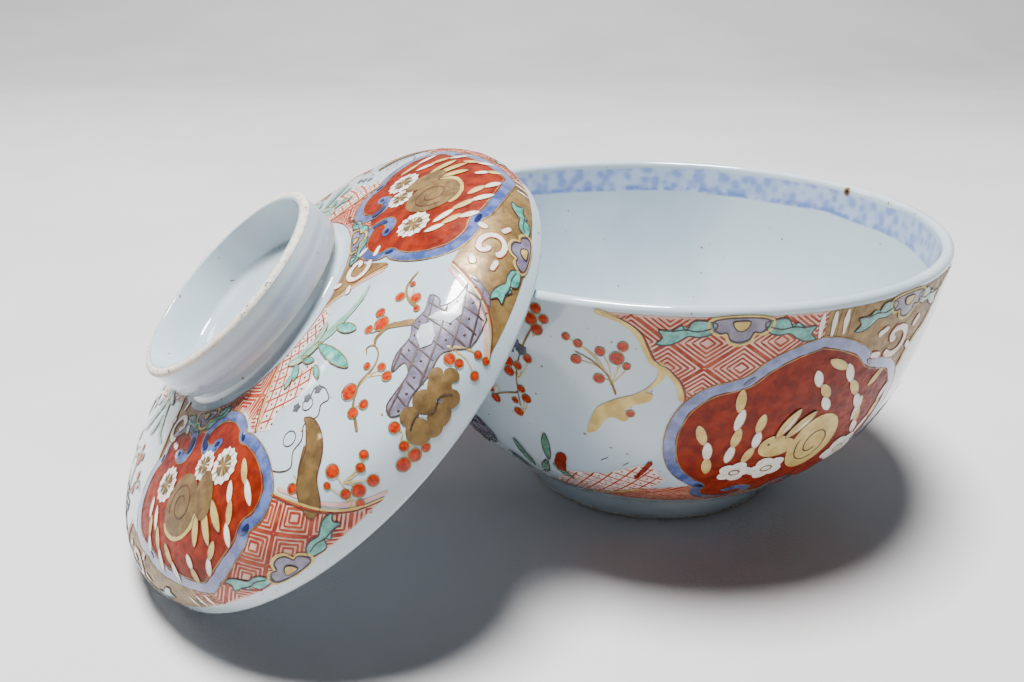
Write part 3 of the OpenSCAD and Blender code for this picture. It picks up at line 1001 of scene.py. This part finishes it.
PAINTS = {
    # colour: (slot, tone, second tone, roughness, further settings)
    "red": ("iron_red", (134, 38, 8), (100, 20, 4), 0.42, dict(shine=0.18)),
    "red_line": ("iron_red", (138, 40, 20), (166, 72, 46), 0.42, dict(shine=0.3)),
    "orange": ("iron_red", (190, 58, 10), (142, 26, 4), 0.28, dict(mottle=1500, shine=0.4)),
    "gold": ("gold", (146, 118, 70), (112, 88, 50), 0.42, dict(metallic=0.3)),
    "gold_light": ("gold", (206, 184, 114), (182, 154, 84), 0.42, dict(metallic=0.2)),
    "gold_dark": ("gold", (128, 102, 60), (98, 76, 44), 0.44, dict(metallic=0.3)),
    "brown": ("dark_line", (96, 52, 34), (70, 36, 26), 0.45, {}),
    "line": ("dark_line", (48, 38, 38), (78, 58, 52), 0.45, {}),
    "smoke": ("dark_line", (92, 92, 102), (62, 62, 74), 0.4, {}),
    "white": ("white_enamel", (233, 230, 222), (214, 208, 198), 0.3, dict(coat=0.3, grain=0.04)),
    # a painted highlight, glossy bluish white, laid on the lid's rock
    "painted_highlight": ("white_enamel", (196, 204, 212), (182, 188, 204), 0.18, dict(coat=0.6)),
    "pale": ("white_enamel", (196, 168, 128), (176, 142, 104), 0.4, {}),
    "turquoise": ("turquoise", (92, 178, 164), (44, 122, 112), 0.2, dict(coat=0.5, mottle=700)),
    "pale_green": ("turquoise", (148, 184, 166), (108, 156, 134), 0.25, dict(coat=0.4)),
    "leaf_green": ("turquoise", (96, 138, 118), (70, 108, 90), 0.25, dict(coat=0.4)),
    "lavender": ("lavender", (134, 128, 150), (96, 90, 114), 0.26, dict(coat=0.4)),
    "blue": ("underglaze_blue", (98, 114, 168), (56, 74, 132), 0.14, dict(coat=1.0, mottle=420, grain=0.01)),
    "navy": ("underglaze_blue", (38, 48, 100), (18, 26, 64), 0.12, dict(coat=1.0, grain=0.01)),
    "pink": ("pink_wash", (216, 178, 160), (200, 146, 124), 0.3, dict(mottle=260)),
    "pale_pink": ("pink_wash", (222, 176, 166), (206, 146, 134), 0.3, {}),
    "fence_wash": ("pink_wash", (222, 208, 202), (208, 180, 172), 0.26, dict(mottle=300)),
}


def along_axis(finish, origin, axis):
    """Height above origin along axis, in mm, as a shader value."""
    away = finish.vector("SUBTRACT", finish.place, origin)
    return finish.vector("DOT_PRODUCT", away, axis / MM, "Value")


GLAZE = (190, 205, 213)
GLAZE_THICK = (168, 187, 199)
IRON_SPECK = (134, 116, 100)
RING_BLUE = (146, 152, 180)
WASH_PALE = (172, 188, 214)
WASH = (128, 148, 198)
WASH_POOL = (104, 128, 190)
CHIP_EDGE = (126, 96, 66)
CHIP_MIDDLE = (38, 30, 26)
CLAY = (222, 219, 211)
CLAY_WARM = (200, 190, 172)
CLAY_STAIN = (96, 78, 62)


def glaze(finish):
    """Thin bluish porcelain glaze with faint pooling, pinholes and iron specks."""
    tone = finish.two_tones(GLAZE, GLAZE_THICK, 28, 3, 0.35, 0.68)
    specks = finish.spread(finish.noise(760, 1), 0.755, 0.775)
    tone = finish.mix(specks, tone, linear(*IRON_SPECK))
    finish.roughness(160, 0.05, 0.14)
    pits = finish.math("MULTIPLY", finish.noise(900, 2), 0.08)
    finish.relief(finish.math("ADD", finish.noise(120, 2), pits), 0.55, 0.16)
    finish.set(Coat_Weight=0.6, Coat_Roughness=0.04, IOR=1.5)
    return tone


def facing_out(finish, origin, axis):
    """Positive where the surface faces away from that axis."""
    away = finish.vector("SUBTRACT", finish.place, origin)
    radial = finish.vector("SUBTRACT", away, finish.vector("PROJECT", away, axis))
    turned = finish.add("ShaderNodeVectorTransform", vector_type="NORMAL",
                        convert_from="WORLD", convert_to="OBJECT")
    finish.link(finish.add("ShaderNodeNewGeometry").outputs["Normal"], turned.inputs[0])
    return finish.vector("DOT_PRODUCT", radial, turned.outputs[0], "Value")


# Soft blue-grey lines round the outside of the lid's ring: mm below its rim, and half width.
RING_LINES = ((3.4, 0.7), (5.6, 1.0))


def lid_porcelain():
    """The glaze, with the blue-grey lines round the outside of the ring."""
    finish = Finish("lid_porcelain")
    tone = glaze(finish)
    below = finish.math("SUBTRACT", lid_height, along_axis(finish, lid_centre, lid_axis))
    outside = finish.math("GREATER_THAN", facing_out(finish, lid_centre, lid_axis), 0.0)
    wander = finish.math("MULTIPLY_ADD", finish.noise(70, 2), 1.2, finish.math("SUBTRACT", below, 0.6))
    for depth, half in RING_LINES:
        off = finish.math("ABSOLUTE", finish.math("SUBTRACT", wander, depth))
        line = finish.spread(off, half * 0.2, half * 1.7, 0.6, 0.0)
        tone = finish.mix(finish.math("MULTIPLY", line, outside), tone, linear(*RING_BLUE))
    finish.colour(tone)
    return finish.material


# A chip in the bowl's lip and a small iron spot beside it: angle, then radius, depth below the lip and
# size in mm.
CHIPS = ((6.0, 56.6, 1.4, 1.1), (-9.0, 57.2, 0.9, 0.55))


def chipped(finish, tone):
    """Adds the chips: brown round the edge, nearly black in the middle."""
    for phi, radius, below, size in CHIPS:
        angle = math.radians(phi)
        spot = Vector((math.cos(angle) * radius, math.sin(angle) * radius, bowl_height - below))
        gap = finish.vector("DISTANCE", finish.place, spot * MM, "Value")
        reach = finish.math("MULTIPLY_ADD", finish.noise(900, 3), 0.8, finish.math("DIVIDE", gap, MM))
        tone = finish.mix(finish.spread(reach, size + 0.5, size + 0.2), tone, linear(*CHIP_EDGE))
        tone = finish.mix(finish.spread(reach, size / 2 + 0.5, size / 2 + 0.2), tone, linear(*CHIP_MIDDLE))
    return tone


def bowl_porcelain():
    """The same glaze, with the blue wash that runs round the inside below the lip."""
    finish = Finish("bowl_porcelain")
    tone = glaze(finish)
    depth = finish.math("SUBTRACT", bowl_height, along_axis(finish, bowl_pot.origin, bowl_pot.axis))
    wander = finish.math("MULTIPLY_ADD", finish.noise(60, 3), 2.4, depth)
    below = finish.spread(wander, 2.7, 3.3)
    above = finish.spread(wander, 8.6, 9.4, 1.0, 0.0)
    inside = finish.math("LESS_THAN", facing_out(finish, bowl_pot.origin, bowl_pot.axis), 0.0)
    wash = finish.math("MULTIPLY", finish.math("MULTIPLY", below, above), inside)
    cells = finish.add("ShaderNodeTexVoronoi", feature="SMOOTH_F1")
    cells.inputs["Scale"].default_value = 430
    finish.link(finish.place, cells.inputs["Vector"])
    blue = finish.mix(finish.spread(cells.outputs["Distance"], 0.18, 0.62), linear(*WASH), linear(*WASH_PALE))
    drift = finish.spread(finish.noise(240, 3), 0.4, 0.6)
    pool = finish.math("MULTIPLY", finish.spread(wander, 7.0, 8.4), drift)
    blue = finish.mix(pool, blue, linear(*WASH_POOL))
    finish.colour(chipped(finish, finish.mix(wash, tone, blue)))
    return finish.material


def bare_clay():
    """The unglazed edge of a foot: gritty, cream, stained brown."""
    finish = Finish("bare_clay")
    tone = finish.two_tones(CLAY, CLAY_WARM, 900, 6, 0.36, 0.66, 0.7)
    stain = finish.spread(finish.noise(760, 4, 0.65), 0.6, 0.68)
    finish.colour(finish.mix(stain, tone, linear(*CLAY_STAIN)))
    finish.roughness(700, 0.65, 0.9)
    finish.relief(finish.noise(1300, 6, 0.7), 0.9, 0.12)
    return finish.material


# ---------------------------------------------------------------- pieces

SKIN = 0.03             # mm that the bare clay skin stands proud of the glazed edge below it
EDGE_ROUND = 0.8        # mm, rounding of the standing edges
WELD_GAP = 0.01         # mm, joins the CAD faces of a pot so that light runs over them unbroken
CORNER_ANGLE = math.radians(40)     # edges sharper than this stay crisp
RING_STEPS = 180        # flats round a bare edge
FOOT_OUT, FOOT_IN = 29.2, 25.2      # mm, radii of the bowl's foot ring
KNOB_OUT, KNOB_IN = 21.5, 19.5      # mm, radii of the lid's knob ring


def piece(name, verts, faces, material, body):
    mesh = bpy.data.meshes.new(name)
    mesh.from_pydata([tuple(v) for v in verts], [], faces)
    mesh.materials.append(material)
    mesh.shade_smooth()
    ob = bpy.data.objects.new(name, mesh)
    bpy.context.scene.collection.objects.link(ob)
    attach(ob, body)


def hang(art, body, paints):
    """One mesh on the body for each colour of the painting."""
    for colour, (verts, faces) in art.coats.items():
        piece(body + "_" + colour, verts, faces, paints[colour], body)


def bare_ring(name, pot, outline, material):
    """A turned skin over the bare edge of a foot. outline: radius and height in mm, outside first."""
    verts, faces = [], []
    for i in range(RING_STEPS):
        angle = 2 * math.pi * i / RING_STEPS
        radial = pot.zero * math.cos(angle) + pot.side * math.sin(angle)
        verts += [pot.origin + (radial * r + pot.axis * h) * MM for r, h in outline]
    n = len(outline)
    for i in range(RING_STEPS):
        a, b = n * i, n * ((i + 1) % RING_STEPS)
        faces += [[a + j, b + j, b + j + 1, a + j + 1] for j in range(n - 1)]
    piece(name, verts, faces, material, pot.body)


def edge_outline(out_r, in_r, level, up):
    """Outline of the skin over a standing edge, from its outside round to its inside."""
    points = []
    reach = EDGE_ROUND + SKIN
    for r, side in ((out_r, 1), (in_r, -1)):
        centre = r - side * EDGE_ROUND
        corner = []
        for i in range(6):
            a = math.radians(18 * i)
            height = level - up * EDGE_ROUND + up * reach * math.sin(a)
            corner.append((centre + side * reach * math.cos(a), height))
        points += corner if side > 0 else corner[::-1]
    return points


paints = {}
for colour, (slot_name, tone, second, rough, more) in PAINTS.items():
    paints[colour] = enamel("paint_" + colour, tone, second, rough, **more)

for node, material in (("bowl", bowl_porcelain()), ("lid", lid_porcelain())):
    ob = frame["nodes"][node]
    ob.data.materials.clear()
    ob.data.materials.append(material)
    ob.modifiers.new("one_skin", "WELD").merge_threshold = WELD_GAP * MM
    ob.modifiers.new("corners", "EDGE_SPLIT").split_angle = CORNER_ANGLE
    ob.modifiers.new("round_shading", "WEIGHTED_NORMAL").keep_sharp = False

clay = bare_clay()
bare_ring("bowl_foot_edge", bowl_pot, edge_outline(FOOT_OUT, FOOT_IN, 0.0, -1), clay)
bare_ring("lid_ring_edge", lid_pot, edge_outline(KNOB_OUT, KNOB_IN, lid_height, 1), clay)

hang(paint_bowl(), "bowl", paints)
hang(paint_lid(), "lid", paints)

# ---------------------------------------------------------------- table, light and camera


CLOTH = (202, 201, 203)
CLOTH_SHADE = (194, 193, 195)
SHEET_NEAR, SHEET_BEND = -1.2, 0.75     # m, where the flat part starts, and where it starts to rise
SHEET_SWEEP, SHEET_TOP = 0.6, 1.6       # m, radius of the sweep and height of the sheet
SHEET_HALF = 2.4                        # m, half its width
OBJECT_MIDDLE = (-0.03, 0, 0.03)        # m, what the lights point at
CAMERA_PLACE = (-0.1054, -0.1712, 0.1115)
CAMERA_DOWN, CAMERA_RIGHT = 22.45, 22.25    # degrees that the camera looks down, and to the right of +Y
CAMERA_TURN = (math.radians(90 - CAMERA_DOWN), 0, math.radians(-CAMERA_RIGHT))
SENSOR, LENS = 36, 32.62                # mm


def cloth():
    finish = Finish("cloth")
    finish.colour(finish.two_tones(CLOTH, CLOTH_SHADE, 9, 4, 0.3, 0.7))
    finish.roughness(60, 0.8, 0.95)
    finish.relief(finish.noise(1400, 2), 0.5, 0.15)
    return finish.material


def backdrop(material):
    """A sheet that lies flat under the bowls and sweeps up behind them."""
    line = [(SHEET_NEAR, 0.0), (SHEET_BEND, 0.0)]
    for degrees in range(5, 91, 5):
        a = math.radians(degrees)
        line.append((SHEET_BEND + SHEET_SWEEP * math.sin(a), SHEET_SWEEP - SHEET_SWEEP * math.cos(a)))
    line.append((SHEET_BEND + SHEET_SWEEP, SHEET_TOP))
    verts = [(x, y, z) for y, z in line for x in (-SHEET_HALF, SHEET_HALF)]
    faces = [(2 * i, 2 * i + 1, 2 * i + 3, 2 * i + 2) for i in range(len(line) - 1)]
    mesh = bpy.data.meshes.new("backdrop")
    mesh.from_pydata(verts, [], faces)
    mesh.shade_smooth()
    mesh.materials.append(material)
    ob = bpy.data.objects.new("backdrop", mesh)
    ob.location = (0, 0, -2 * SKIN * MM)
    ob.rotation_euler = (0, 0, CAMERA_TURN[2])
    bpy.context.scene.collection.objects.link(ob)


def area_light(name, place, size, power, colour):
    data = bpy.data.lights.new(name, "AREA")
    data.shape = "DISK"
    data.size = size
    data.energy = power
    data.color = colour
    ob = bpy.data.objects.new(name, data)
    ob.location = place
    ob.rotation_euler = (Vector(OBJECT_MIDDLE) - Vector(place)).to_track_quat("-Z", "Y").to_euler()
    bpy.context.scene.collection.objects.link(ob)


backdrop(cloth())
area_light("overhead", (-0.13, 0.05, 1.2), 0.42, 54.0, (1.0, 0.985, 0.96))
area_light("window", (-0.75, 0.85, 0.5), 0.25, 1.6, (0.95, 0.98, 1.0))
world = bpy.data.worlds.new("room")
world.use_nodes = True
room = world.node_tree.nodes["Background"].inputs
room["Color"].default_value = (0.78, 0.8, 0.84, 1)
room["Strength"].default_value = 0.1
bpy.context.scene.world = world

camera_data = bpy.data.cameras.new("camera")
camera_data.sensor_width = SENSOR
camera_data.lens = LENS
camera = bpy.data.objects.new("camera", camera_data)
camera.location = CAMERA_PLACE
camera.rotation_euler = CAMERA_TURN
bpy.context.scene.collection.objects.link(camera)
bpy.context.scene.camera = camera
